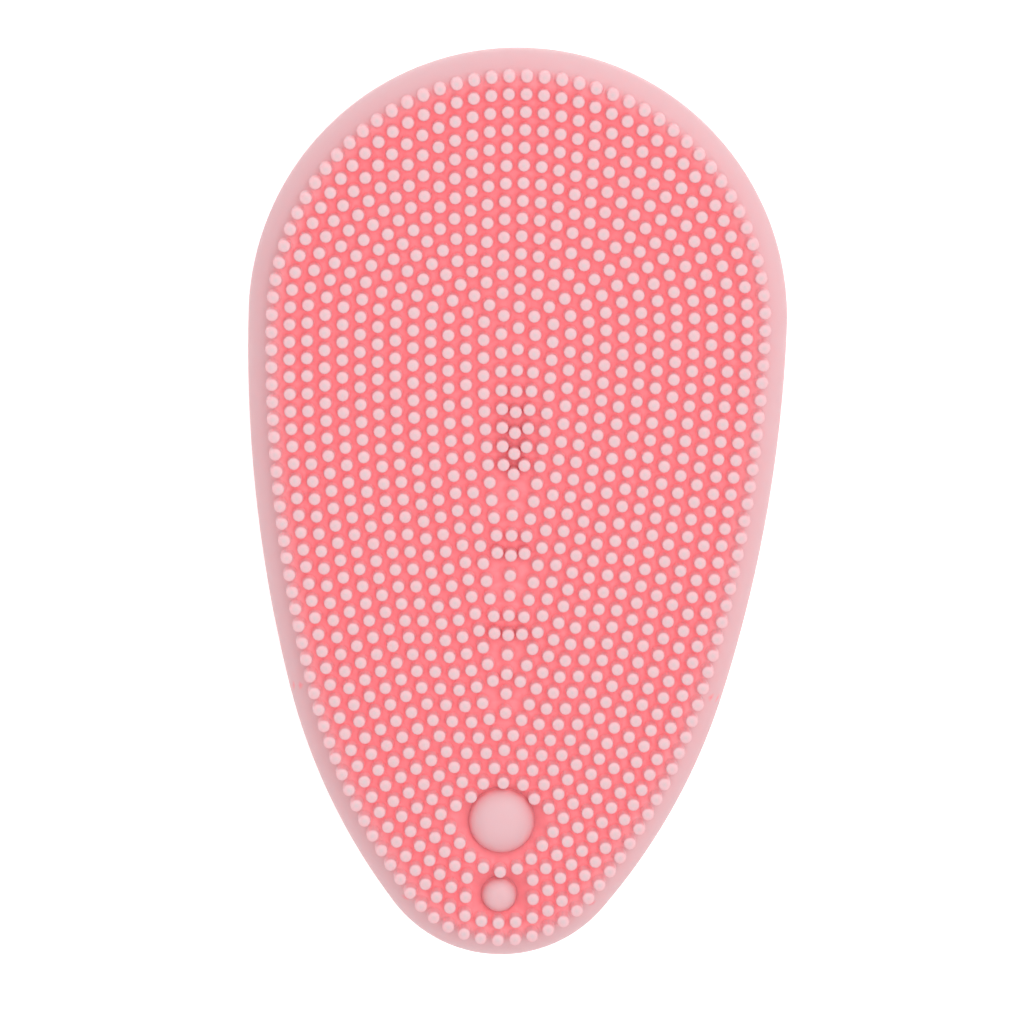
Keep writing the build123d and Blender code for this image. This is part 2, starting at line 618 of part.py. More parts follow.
def motor_brushes():
    """Two leaf brushes on the end cap, one each side of the commutator."""
    length, thickness, height = BRUSH_SIZE
    x = CAN_START + CAP_THICKNESS + length / 2
    reach = COMMUTATOR_RADIUS + BRUSH_GAP + thickness / 2
    return together([block(x, MOTOR_Y + sign * reach, MOTOR_Z - height / 2, BRUSH_SIZE) for sign in (-1, 1)])


def motor_shaft():
    return cross_disc(CAN_START + SHAFT_END_GAP, WEIGHT_END, SHAFT_RADIUS)


def eccentric_weight():
    """Half-round weight that hangs below the shaft, with a hub round it."""
    half = cross_disc(WEIGHT_START, WEIGHT_END, WEIGHT_RADIUS) & below(MOTOR_Z - WEIGHT_CUT)
    hub = cross_disc(WEIGHT_START, WEIGHT_END, SHAFT_RADIUS + WEIGHT_HUB_WALL)
    return half + hub - cross_disc(WEIGHT_START - OVERSHOOT, WEIGHT_END + OVERSHOOT, SHAFT_RADIUS)


def motor_sleeve():
    return cross_tube(CAN_START + SLEEVE_MARGIN, CAN_END - SLEEVE_MARGIN, SLEEVE_RADIUS, MOTOR_RADIUS)


def motor_clamp():
    """Strap over the sleeve, with a screwed foot on each side."""
    low, high = MOTOR_OFFSET - CLAMP_WIDTH / 2, MOTOR_OFFSET + CLAMP_WIDTH / 2
    strap = cross_disc(low, high, SLEEVE_RADIUS + CLAMP_THICKNESS)
    reach = CLAMP_SCREW_REACH + BOSS_RADIUS
    strap += block(MOTOR_OFFSET, MOTOR_Y, MOTOR_Z, (CLAMP_WIDTH, 2 * reach, CLAMP_THICKNESS))
    strap = (strap & above(MOTOR_Z)) - cross_disc(low - OVERSHOOT, high + OVERSHOOT, SLEEVE_RADIUS)
    top = MOTOR_Z + CLAMP_THICKNESS + OVERSHOOT
    for x, y in CLAMP_SCREWS:
        strap -= disc(x, y, MOTOR_Z - OVERSHOOT, top, SMALL_SCREW["shank"] + SHANK_GAP)
    return strap


def clamp_screws():
    tip = FLOOR_Z + CLAMP_SCREW_STOP
    return together([screw(x, y, MOTOR_Z + CLAMP_THICKNESS, tip, SMALL_SCREW) for x, y in CLAMP_SCREWS])


def motor_leads():
    """Two leads from the end cap, along the side of the battery to the underside of the board."""
    side = CAN_START - MOTOR_LEAD_REACH
    routes = []
    for rise in MOTOR_LEAD_RISES:
        level = MOTOR_Z + rise
        end = BOARD_END - MOTOR_LEAD_INLET + rise
        start = (CAN_START, MOTOR_Y, level)
        routes.append([start, (side, MOTOR_Y, level), (side, end, level), (side, end, BOARD_BOTTOM)])
    return together([wire(route, MOTOR_LEAD_BEND) for route in routes])


# --- Charging -----------------------------------------------------------------------------------------------------
def charge_contacts():
    """Two plated pins with heads flush with the back."""
    return together([
        disc(x, CONTACT_Y, 0, CONTACT_HEAD, CONTACT_RADIUS)
        + disc(x, CONTACT_Y, 0, CONTACT_STEM_TOP, CONTACT_STEM)
        for x in (-CONTACT_SPREAD, CONTACT_SPREAD)
    ])


def contact_seals():
    return together([
        tube(x, CONTACT_Y, CONTACT_HEAD, SKIN_WALL, CONTACT_RADIUS, CONTACT_STEM)
        for x in (-CONTACT_SPREAD, CONTACT_SPREAD)
    ])


def charge_leads():
    return together([
        disc(x, CONTACT_Y, CONTACT_STEM_TOP, BOARD_BOTTOM, LEAD_RADIUS)
        for x in (-CONTACT_SPREAD, CONTACT_SPREAD)
    ])


def holding_magnets():
    """Discs on the rear shell's floor that hold a charging lead's plug against the contacts."""
    top = FLOOR_Z + MAGNET_DISC["height"]
    places = [CONTACT_Y - MAGNET_SPACING, CONTACT_Y + MAGNET_SPACING]
    return together([disc(0, y, FLOOR_Z, top, MAGNET_DISC["radius"]) for y in places])


# --- All nodes ----------------------------------------------------------------------------------------------------
NODES = {
    "front_skin": front_skin,
    "rear_skin": rear_skin,
    "power_key": lambda: key(POWER_KEY_Y, POWER_KEY_RADIUS, POWER_STEM_RADIUS),
    "power_key_web": lambda: key_web(POWER_KEY_Y, POWER_KEY_RADIUS, POWER_STEM_RADIUS),
    "speed_key": lambda: key(SPEED_KEY_Y, SPEED_KEY_RADIUS, SPEED_STEM_RADIUS),
    "speed_key_web": lambda: key_web(SPEED_KEY_Y, SPEED_KEY_RADIUS, SPEED_STEM_RADIUS),
    "front_shell": front_shell,
    "rear_shell": rear_shell,
    "shell_gasket": gasket_space,
    "shell_screws": shell_screws,
    "circuit_board": circuit_board,
    "board_screws": board_screws,
    "power_switch": lambda: switch_body(POWER_KEY_Y, POWER_SWITCH_SIDE),
    "power_switch_plunger": lambda: switch_plunger(POWER_KEY_Y),
    "speed_switch": lambda: switch_body(SPEED_KEY_Y, SPEED_SWITCH_SIDE),
    "speed_switch_plunger": lambda: switch_plunger(SPEED_KEY_Y),
    "status_light": lambda: block(0, LED_Y, BOARD_TOP, LED_SIZE),
    "light_pipe": light_pipe,
    "control_chip": lambda: chip(CHIP_X, **CONTROL_CHIP),
    "charger_chip": lambda: chip(-CHIP_X, **CHARGER_CHIP),
    "small_components": small_components,
    "battery_socket": battery_socket,
    "battery": battery,
    "battery_pad": battery_pad,
    "battery_leads": battery_leads,
    "motor_case": motor_case,
    "motor_end_cap": motor_end_cap,
    "motor_bushes": motor_bushes,
    "motor_magnet": motor_magnet,
    "motor_brushes": motor_brushes,
    "motor_coil": motor_coil,
    "motor_commutator": motor_commutator,
    "motor_shaft": motor_shaft,
    "eccentric_weight": eccentric_weight,
    "motor_sleeve": motor_sleeve,
    "motor_clamp": motor_clamp,
    "clamp_screws": clamp_screws,
    "motor_leads": motor_leads,
    "charge_contacts": charge_contacts,
    "contact_seals": contact_seals,
    "charge_leads": charge_leads,
    "holding_magnets": holding_magnets,
}

os.makedirs("parts", exist_ok=True)
for name, make in NODES.items():
    export_step(make(), f"parts/{name}.step")
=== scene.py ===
from math import asin, atan2, ceil, cos, hypot, pi, radians, sin, sqrt

import bmesh
import bpy
from mathutils import Matrix, Vector, geometry, kdtree


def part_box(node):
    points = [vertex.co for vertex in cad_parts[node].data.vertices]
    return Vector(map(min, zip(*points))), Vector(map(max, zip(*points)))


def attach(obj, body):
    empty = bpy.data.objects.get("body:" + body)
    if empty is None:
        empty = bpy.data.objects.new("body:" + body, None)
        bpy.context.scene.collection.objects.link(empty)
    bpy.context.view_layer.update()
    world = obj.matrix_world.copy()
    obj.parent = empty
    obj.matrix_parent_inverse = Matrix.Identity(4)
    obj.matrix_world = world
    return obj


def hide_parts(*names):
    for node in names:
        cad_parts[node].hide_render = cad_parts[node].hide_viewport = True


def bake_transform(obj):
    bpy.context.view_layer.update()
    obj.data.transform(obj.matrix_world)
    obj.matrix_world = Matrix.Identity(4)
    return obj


# Looks of the silicone facial cleansing brush. Skins, bristles and keys are built here as fine
# meshes round the CAD frame, and the pieces inside get their finishes. All sizes are in metres.

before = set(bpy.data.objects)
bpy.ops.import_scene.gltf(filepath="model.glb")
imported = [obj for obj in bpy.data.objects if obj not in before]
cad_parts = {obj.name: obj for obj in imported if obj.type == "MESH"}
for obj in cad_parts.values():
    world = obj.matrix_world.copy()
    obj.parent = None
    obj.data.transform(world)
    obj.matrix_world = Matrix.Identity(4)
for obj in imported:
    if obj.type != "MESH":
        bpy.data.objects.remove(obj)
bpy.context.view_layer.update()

# --- Sizes shared with the CAD model ------------------------------------------------------------
MM = 0.001
NARROW_RADIUS = 13.4 * MM
SIDE_SHARE = 0.7346          # run of each side's long arc, as a share of the way between the ends
SIDE_DROP = 5.074 * MM       # how far that arc draws in
FRONT_ROUND = 3.4 * MM       # round between the bristle face and the sides
BACK_ROUND = 12.0 * MM       # round between the back and the sides
SKIN_WALL = 1.8 * MM
NUB_HEIGHT = 1.9 * MM
KEY_CROWN_TOP = 1.7 * MM     # top of a key, above the floor between the bristles
KEY_HEAD_DEPTH = 1.2 * MM    # under side of a key's head, below that floor
STEM_RADII = {"power_key": 1.4 * MM, "speed_key": 0.9 * MM}

skin_low, skin_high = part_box("front_skin")
LENGTH = skin_high.y - skin_low.y
WIDTH = skin_high.x - skin_low.x
TIP_Z = skin_high.z
FLOOR_Z = TIP_Z - NUB_HEIGHT
SEAM_Z = skin_low.z
WIDE_Y = LENGTH / 2 - WIDTH / 2
NARROW_Y = NARROW_RADIUS - LENGTH / 2
SIDE_RUN = SIDE_SHARE * (WIDE_Y - NARROW_Y)
SIDE_RADIUS = (SIDE_RUN**2 + SIDE_DROP**2) / (2 * SIDE_DROP)
KEYS = {"power_key": 72, "speed_key": 48}      # segments round each key


def middle(node):
    low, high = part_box(node)
    return (low + high) / 2


def half_width(node):
    low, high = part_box(node)
    return (high.x - low.x) / 2


HOLES = {name: half_width(f"{name}_web") for name in KEYS}


# --- Outline: tangent arcs, so that a place is a heading and an inset ---------------------------
OUTLINE_STEP = 0.55 * MM
ANGLE_SLACK = 1e-9           # a place on the joint of two arcs still belongs to one of them


def heading(angle):
    return Vector((sin(angle), cos(angle)))


def egg_arcs():
    """The four tangent arcs of the right half, wide end first: centre, radius, start, end."""
    wide = Vector((0, WIDE_Y))
    narrow = Vector((0, NARROW_Y))
    side = wide - Vector((SIDE_RADIUS - WIDTH / 2, 0))
    turn = pi / 2 + asin(SIDE_RUN / SIDE_RADIUS)
    joint = side + heading(turn) * SIDE_RADIUS
    reach = joint - narrow
    room = reach.dot(heading(turn)) - NARROW_RADIUS
    flank_radius = (reach.dot(reach) - NARROW_RADIUS**2) / (2 * room)
    flank = joint - heading(turn) * flank_radius
    last = atan2((narrow - flank).x, (narrow - flank).y)
    return [
        (wide, WIDTH / 2, 0, pi / 2),
        (side, SIDE_RADIUS, pi / 2, turn),
        (flank, flank_radius, turn, last),
        (narrow, NARROW_RADIUS, last, pi),
    ]


ARCS = egg_arcs()


def outline_stations():
    """Places round the whole outline, anticlockwise: centre, radius and heading of each."""
    right = []
    for centre, radius, start, end in ARCS:
        steps = ceil(radius * (end - start) / OUTLINE_STEP)
        right += [(centre, radius, start + (end - start) * i / steps) for i in range(steps)]
    right.append((ARCS[-1][0], ARCS[-1][1], pi))
    left = [(Vector((-c.x, c.y)), r, 2 * pi - h) for c, r, h in reversed(right[1:-1])]
    return list(reversed(right + left))


STATIONS = outline_stations()


def ring(inset, z):
    """Points of the outline moved inwards, at one height."""
    return [(*(centre + heading(turn) * (radius - inset)), z) for centre, radius, turn in STATIONS]


def inset_of(x, y):
    """How far a place is inside the outline."""
    place = Vector((abs(x), y))
    nearest = WIDTH
    for centre, radius, start, end in ARCS:
        away = place - centre
        angle = atan2(away.x, away.y)
        if start - ANGLE_SLACK <= angle <= end + ANGLE_SLACK:
            nearest = min(nearest, radius - away.length)
    return nearest


def front_level(inset):
    """Height of the front surface between the bristles, with its rounded rim."""
    if inset >= FRONT_ROUND:
        return FLOOR_Z
    drop = FRONT_ROUND - max(inset, 0)
    return FLOOR_Z - FRONT_ROUND + sqrt(FRONT_ROUND**2 - drop**2)


def smooth_step(low, high, value):
    t = min(max((value - low) / (high - low), 0), 1)
    return t * t * (3 - 2 * t)


# --- Mesh building ------------------------------------------------------------------------------
WEIGHTS = ("tone", "tip", "core")      # how far a point turns from painted coral shade to rim pink, to painted pale light and to the painted grey shade of a tip's flat top
SAME_PLACE = 1e-9                      # points nearer than this count as one


class Sheet:
    """Points, faces and three colour weights of one piece."""

    def __init__(self):
        self.points = []
        self.faces = []
        self.weights = {key: [] for key in WEIGHTS}

    def add(self, points, tone=1.0, tip=0.0, core=0.0):
        """Adds points; returns their numbers. A weight is a number or a function of the point."""
        first = len(self.points)
        self.points += points
        for key, value in zip(WEIGHTS, (tone, tip, core)):
            self.weights[key] += [value(p) if callable(value) else value for p in points]
        return list(range(first, len(self.points)))

    def bridge(self, low, high):
        """Quads between two closed loops of as many points."""
        for i in range(len(low)):
            j = (i + 1) % len(low)
            self.faces.append((low[i], low[j], high[j], high[i]))

    def fan(self, loop, centre):
        """Triangles between a closed loop and one point."""
        for i in range(len(loop)):
            self.faces.append((loop[i], loop[(i + 1) % len(loop)], centre))

    def fill(self, outer, holes, loose=()):
        """Triangles between an outer convex loop and round holes, seen from above."""
        loops = [outer, *holes]
        numbers = [n for loop in loops for n in loop] + list(loose)
        owner = [k for k, loop in enumerate(loops) for _ in loop] + [-1] * len(loose)
        edges = []
        start = 0
        for loop in loops:
            edges += [(start + i, start + (i + 1) % len(loop)) for i in range(len(loop))]
            start += len(loop)
        flat = [Vector(self.points[n][:2]) for n in numbers]
        found = geometry.delaunay_2d_cdt(flat, edges, [], 0, SAME_PLACE)
        original = [ids[0] for ids in found[3]]
        for triangle in found[2]:
            corners = [original[v] for v in triangle]
            owners = {owner[c] for c in corners}
            if len(owners) > 1 or owners <= {-1, 0}:
                self.faces.append(tuple(numbers[c] for c in corners))

    def make(self, name, material):
        """Turns the sheet into an object with one material."""
        mesh = bpy.data.meshes.new(name)
        mesh.from_pydata(self.points, [], self.faces)
        for key in WEIGHTS:
            layer = mesh.attributes.new(key, "FLOAT", "POINT")
            layer.data.foreach_set("value", self.weights[key])
        shell = bmesh.new()
        shell.from_mesh(mesh)
        bmesh.ops.recalc_face_normals(shell, faces=shell.faces)
        shell.to_mesh(mesh)
        shell.free()
        mesh.shade_smooth()
        mesh.materials.append(material)
        piece = show(name, mesh)
        return piece


def show(name, data):
    """Puts a mesh, a light or a camera in the scene."""
    made = bpy.data.objects.new(name, data)
    bpy.context.scene.collection.objects.link(made)
    return made


def circle(x, y, z, radius, count):
    angles = [2 * pi * i / count for i in range(count)]
    return [(x + radius * cos(a), y + radius * sin(a), z) for a in angles]


# --- Materials ----------------------------------------------------------------------------------
NOISE_RANGE = (0.3, 0.7)     # nearly all of a noise's values lie between these
MIX_INPUTS = (0, 6, 7)       # a Mix node's factor and its two colours
MIX_OUTPUT = 2               # its mixed colour


class Nodes:
    """Shorthand for a material's node tree."""

    def __init__(self, name):
        self.material = bpy.data.materials.new(name)
        self.material.use_nodes = True
        self.tree = self.material.node_tree
        self.surface = self.tree.nodes["Principled BSDF"]

    def node(self, kind, **values):
        """Adds a node. A value sets the setting of its name, or else the input of its name."""
        made = self.tree.nodes.new(kind)
        for key, value in values.items():
            if hasattr(made, key):
                setattr(made, key, value)
            else:
                made.inputs[key.replace("_", " ").title()].default_value = value
        return made

    def link(self, source, target):
        self.tree.links.new(source, target)

    def set(self, **values):
        """Sets inputs of the surface."""
        for key, value in values.items():
            self.surface.inputs[key.replace("_", " ")].default_value = value

    def place(self):
        return self.node("ShaderNodeTexCoord").outputs["Object"]

    def noise(self, scale, detail=3.0, roughness=0.55):
        noise = self.node("ShaderNodeTexNoise", scale=scale, detail=detail, roughness=roughness)
        self.link(self.place(), noise.inputs["Vector"])
        return noise.outputs["Fac"]

    def remap(self, value, to_min, to_max, span=NOISE_RANGE):
        """Carries a value from one span to another."""
        low, high = span
        remap = self.node(
            "ShaderNodeMapRange", from_min=low, from_max=high, to_min=to_min, to_max=to_max
        )
        self.link(value, remap.inputs["Value"])
        return remap.outputs["Result"]

    def mix(self, factor, first, second):
        """Mixes two colours, each a colour or an output, by a factor that is an output."""
        mix = self.node("ShaderNodeMix", data_type="RGBA")
        for number, value in zip(MIX_INPUTS, (factor, first, second)):
            if isinstance(value, bpy.types.NodeSocket):
                self.link(value, mix.inputs[number])
            else:
                mix.inputs[number].default_value = (*value, 1.0)
        return mix.outputs[MIX_OUTPUT]

    def colour(self, factor, first, second):
        """Gives the surface a mix of two colours."""
        self.link(self.mix(factor, first, second), self.surface.inputs["Base Color"])

    def rough(self, noise, low, high):
        """Gives the surface a roughness that a noise varies between two values."""
        self.link(self.remap(noise, low, high), self.surface.inputs["Roughness"])

    def bump(self, height, strength, distance):
        bump = self.node("ShaderNodeBump", strength=strength, distance=distance)
        self.link(height, bump.inputs["Height"])
        self.link(bump.outputs["Normal"], self.surface.inputs["Normal"])


# Deep coral where all weights are nought: painted shade of light bouncing between the bristles.
SHADE_CORAL = (1.0, 0.28, 0.315)
# Colours of the weights: the rim's pink, painted pale light on the tips, painted grey shade on a
# tip's flat top.
LIGHT_AND_SHADE_COLOURS = {"tone": (0.82, 0.49, 0.52), "tip": (1.0, 0.57, 0.61), "core": (0.70, 0.57, 0.595)}
CLOUD_PINK = (0.90, 0.36, 0.40)
CLOUD_DEPTH = 0.08


def shade(colour, share):
    return tuple(share * c for c in colour)


def silicone(name):
    """Translucent matte silicone: deep coral low between the bristles as painted shade, paler at
    the rim, with painted pale light on the tips and painted grey shade on their flat tops.
    """
    n = Nodes(name)
    colour = SHADE_CORAL
    for key in WEIGHTS:
        weight = n.node("ShaderNodeAttribute", attribute_name=key).outputs["Fac"]
        colour = n.mix(weight, colour, LIGHT_AND_SHADE_COLOURS[key])
    n.colour(n.remap(n.noise(160.0, detail=4.0), 0.0, CLOUD_DEPTH), colour, CLOUD_PINK)
    n.rough(n.noise(900.0), 0.42, 0.56)
    n.bump(n.noise(5200.0, detail=2.0), strength=0.12, distance=0.03 * MM)
    n.set(IOR=1.41, Subsurface_Weight=0.45, Subsurface_Scale=0.9 * MM)
    n.set(Subsurface_Radius=(1.0, 0.38, 0.34))
    return n.material


def plastic(name, colour, roughness=0.45, grain=4000.0, depth=0.10):
    """Moulded plastic or rubber with a fine texture and a little variation of colour."""
    n = Nodes(name)
    patches = n.remap(n.noise(220.0, detail=4.0), 0.0, 0.6, span=(0.35, 0.7))
    n.colour(patches, colour, shade(colour, 0.86))
    n.rough(n.noise(700.0), roughness - 0.06, roughness + 0.08)
    n.bump(n.noise(grain, detail=2.0), depth, distance=0.04 * MM)
    return n.material


def metal(name, colour, roughness=0.28, stretch=(1.0, 1.0, 12.0)):
    """Metal with fine drawn lines along one direction."""
    n = Nodes(name)
    mapping = n.node("ShaderNodeMapping", scale=stretch)
    n.link(n.place(), mapping.inputs["Vector"])
    noise = n.node("ShaderNodeTexNoise", scale=1800.0, detail=4.0)
    n.link(mapping.outputs["Vector"], noise.inputs["Vector"])
    lines = noise.outputs["Fac"]
    n.colour(n.remap(lines, 0.0, 0.35), colour, shade(colour, 0.7))
    n.rough(lines, roughness, roughness + 0.18)
    n.bump(lines, strength=0.08, distance=0.02 * MM)
    n.set(Metallic=1.0)
    return n.material


def foil(name):
    """Crinkled laminate of a pouch cell."""
    n = Nodes(name)
    creases = n.node("ShaderNodeTexVoronoi", feature="DISTANCE_TO_EDGE", scale=420.0)
    n.link(n.place(), creases.inputs["Vector"])
    n.colour(n.remap(n.noise(300.0), 0.0, 0.5), (0.78, 0.79, 0.81), (0.62, 0.63, 0.66))
    n.rough(n.noise(900.0), 0.28, 0.45)
    folds = n.remap(creases.outputs["Distance"], 0.0, 1.0, span=(0.0, 0.3))
    n.bump(folds, strength=0.25, distance=0.1 * MM)
    n.set(Metallic=0.85)
    return n.material


def board(name):
    """Green solder mask over copper tracks."""
    n = Nodes(name)
    bricks = n.node("ShaderNodeTexBrick", offset=0.5, squash=1.0, scale=260.0, mortar_size=0.06)
    n.link(n.place(), bricks.inputs["Vector"])
    tracks = bricks.outputs["Fac"]
    n.colour(tracks, (0.02, 0.16, 0.07), (0.05, 0.30, 0.13))
    n.rough(n.noise(500.0), 0.22, 0.36)
    n.bump(tracks, strength=0.2, distance=0.04 * MM)
    return n.material


def winding(name):
    """Enamelled copper wire laid turn beside turn."""
    n = Nodes(name)
    wave = n.node(
        "ShaderNodeTexWave", wave_type="BANDS", bands_direction="X", scale=1500.0, distortion=0.6
    )
    n.link(n.place(), wave.inputs["Vector"])
    turns = wave.outputs["Fac"]
    n.colour(turns, (0.46, 0.17, 0.08), (0.83, 0.42, 0.22))
    n.rough(n.noise(900.0), 0.22, 0.38)
    n.bump(turns, strength=0.3, distance=0.05 * MM)
    n.set(Metallic=0.9)
    return n.material


def clear(name):
    """Clear moulded plastic with faint flow marks."""
    n = Nodes(name)
    n.colour(n.remap(n.noise(400.0), 0.0, 0.2), (0.96, 0.97, 0.98), (0.86, 0.90, 0.92))
    n.rough(n.noise(1200.0), 0.08, 0.2)
    n.bump(n.noise(2500.0, detail=2.0), strength=0.05, distance=0.02 * MM)
    n.set(IOR=1.49, Transmission_Weight=0.85)
    return n.material


SKIN = silicone("silicone")
KEY_SKIN = silicone("key_silicone")


def finish_inside():
    """Finishes of the CAD pieces that are shown as they are."""
    finishes = {
        plastic("shell_plastic", (0.86, 0.84, 0.81)): ["front_shell", "rear_shell", "motor_clamp"],
        plastic("gasket_rubber", (0.09, 0.09, 0.10), 0.6): ["shell_gasket", "contact_seals"],
        metal("steel", (0.70, 0.71, 0.73)): [
            "shell_screws", "board_screws", "clamp_screws", "motor_shaft",
        ],
        board("board_resin"): ["circuit_board"],
        plastic("switch_plastic", (0.03, 0.03, 0.035)): ["power_switch", "speed_switch"],
        plastic("plunger_plastic", (0.72, 0.68, 0.60)): [
            "power_switch_plunger", "speed_switch_plunger",
        ],
        clear("clear_plastic"): ["status_light", "light_pipe"],
        plastic("chip_resin", (0.02, 0.02, 0.022), 0.5): ["control_chip", "charger_chip"],
        plastic("ceramic", (0.50, 0.36, 0.22), 0.4): ["small_components"],
        plastic("socket_nylon", (0.86, 0.83, 0.72)): ["battery_socket"],
        foil("cell_foil"): ["battery"],
        plastic("foam", (0.05, 0.05, 0.055), 0.8, grain=2600.0, depth=0.6): ["battery_pad"],
        plastic("lead_insulation", (0.62, 0.03, 0.03), 0.38): [
            "battery_leads", "motor_leads", "charge_leads",
        ],
        metal("motor_steel", (0.62, 0.63, 0.65), 0.24, stretch=(12.0, 1.0, 1.0)): ["motor_case"],
        plastic("motor_cap_plastic", (0.88, 0.88, 0.87)): ["motor_end_cap"],
        metal("bronze", (0.64, 0.42, 0.20), 0.4): ["motor_bushes"],
        metal("magnet_nickel", (0.80, 0.79, 0.76), 0.16): ["motor_magnet", "holding_magnets"],
        winding("copper_winding"): ["motor_coil"],
        metal("copper", (0.80, 0.42, 0.24)): ["motor_brushes", "motor_commutator"],
        metal("weight_metal", (0.42, 0.42, 0.43), 0.42): ["eccentric_weight"],
        plastic("sleeve_rubber", (0.035, 0.035, 0.04), 0.65): ["motor_sleeve"],
        metal("gold_contact", (0.90, 0.66, 0.28), 0.18): ["charge_contacts"],
    }
    for material, names in finishes.items():
        for name in names:
            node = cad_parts[name]
            node.data.materials.clear()
            node.data.materials.append(material)


# --- Front skin with its bristles ---------------------------------------------------------------
TIP_SLACK = 0.01 * MM        # points of the CAD's front skin this near its top lie on a tip
TIP_DIGITS = 7               # decimals that tell such points apart
NUB_SEGMENTS = 12
NUB_FLARE = 0.74 * MM        # where a bristle's foot runs out into the floor
NUB_FLARE_GAP = 0.01 * MM    # least gap from there to the next foot or a key's hole
NUB_FOOT = 0.66 * MM
NUB_FOOT_RISE = 0.10 * MM
NUB_SHOULDER = 0.62 * MM
NUB_SHOULDER_DROP = 0.24 * MM    # from the tip down to the shoulder
NUB_TIP = 0.58 * MM
NUB_TIP_DROP = 0.07 * MM
NUB_FLAT = 0.46 * MM
NUB_FLAT_DROP = 0.01 * MM
# Painted pale light on a bristle's shaft, standing in for light through thin silicone and lighting
# its shaded sides, fullest at the tip.
FOOT_PAINTED_LIGHT, SHOULDER_PAINTED_LIGHT = 0.65, 0.9
# Painted grey shade on the flat top of a tip.
FLAT_PAINTED_SHADE = 0.3
RIM_SHADE_FADE = (1.3 * MM, 4.3 * MM)  # between these insets the rim's pink gives way to the painted coral shade between the bristles
RIM_SHEET_INSET = 1.2 * MM   # inside this the front is one sheet; outside it the rim is rings
RIM_RINGS = 8
LOOSE_STEP = 0.4 * MM        # between rings of points of its own that the sheet has near the rim
LOOSE_END = FRONT_ROUND + 0.1 * MM
LOOSE_GAP = 0.12 * MM        # least gap from such a point to a foot
SEAM_EDGE = [(0, 0.16 * MM), (0.05 * MM, 0.05 * MM), (0.16 * MM, 0.005 * MM)]  # insets, rises
SEAM_GAP = SEAM_EDGE[-1][1]
INNER_ROUND = FRONT_ROUND - SKIN_WALL
INNER_BEVEL = 0.47 * MM      # middle of that round, from either wall


def nub_centres():
    """Middles of the bristles, from the flat tips of the CAD model's bristles."""
    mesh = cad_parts["front_skin"].data
    level = TIP_Z - TIP_SLACK

    def key(point):
        return (round(point.x, TIP_DIGITS), round(point.y, TIP_DIGITS))

    numbers = {}
    for vertex in mesh.vertices:
        if vertex.co.z > level:
            numbers.setdefault(key(vertex.co), len(numbers))
    parent = list(range(len(numbers)))

    def root(i):
        while parent[i] != i:
            i = parent[i]
        return i

    for polygon in mesh.polygons:
        corners = [mesh.vertices[v].co for v in polygon.vertices]
        if all(c.z > level for c in corners):
            ids = [root(numbers[key(c)]) for c in corners]
            for i in ids[1:]:
                parent[root(i)] = root(ids[0])
    groups = {}
    for place, i in numbers.items():
        groups.setdefault(root(i), []).append(place)
    centres = []
    for places in groups.values():
        xs, ys = zip(*places)
        centres.append(((min(xs) + max(xs)) / 2, (min(ys) + max(ys)) / 2))
    return sorted(centres)


def floor_shade_tone(point):
    """Painted coral shade between the bristles, fading to the pale rim."""
    return 1 - smooth_step(*RIM_SHADE_FADE, inset_of(point[0], point[1]))


def floor_circle(x, y, radius, rise):
    """Points round a place, so far above the floor."""
    points = circle(x, y, 0, radius, NUB_SEGMENTS)
    return [(px, py, front_level(inset_of(px, py)) + rise) for px, py, _ in points]


def bristle(sheet, x, y, flare):
    """One bristle: a flared foot, a slightly tapered shaft and a rounded tip. Returns its foot."""
    foot = sheet.add(floor_circle(x, y, flare, 0), floor_shade_tone)
    base = floor_shade_tone((x, y))
    shoulder = circle(x, y, TIP_Z - NUB_SHOULDER_DROP, NUB_SHOULDER, NUB_SEGMENTS)
    # Up the shaft the floor's painted coral shade gives way to painted pale light; the flat top
    # gets painted grey shade.
    levels = [
        (floor_circle(x, y, NUB_FOOT, NUB_FOOT_RISE), base, FOOT_PAINTED_LIGHT, 0.0),
        (shoulder, base, SHOULDER_PAINTED_LIGHT, 0.0),
        (circle(x, y, TIP_Z - NUB_TIP_DROP, NUB_TIP, NUB_SEGMENTS), 1.0, 1.0, 0.0),
        (circle(x, y, TIP_Z - NUB_FLAT_DROP, NUB_FLAT, NUB_SEGMENTS), 1.0, 1.0, FLAT_PAINTED_SHADE),
    ]
    last = foot
    for points, tone, tip, core in levels:
        loop = sheet.add(points, tone, tip, core)
        sheet.bridge(last, loop)
        last = loop
    # Painted grey shade, fullest at the middle of the tip.
    top = sheet.add([(x, y, TIP_Z)], 1.0, 1.0, 1.0)
    sheet.fan(last, top[0])
    return foot


def stack(sheet, last, levels, tone=1.0):
    """Adds outline rings at (inset, height) levels, each joined to the one before."""
    for inset, z in levels:
        loop = sheet.add(ring(inset, z), tone)
        sheet.bridge(last, loop)
        last = loop
    return last


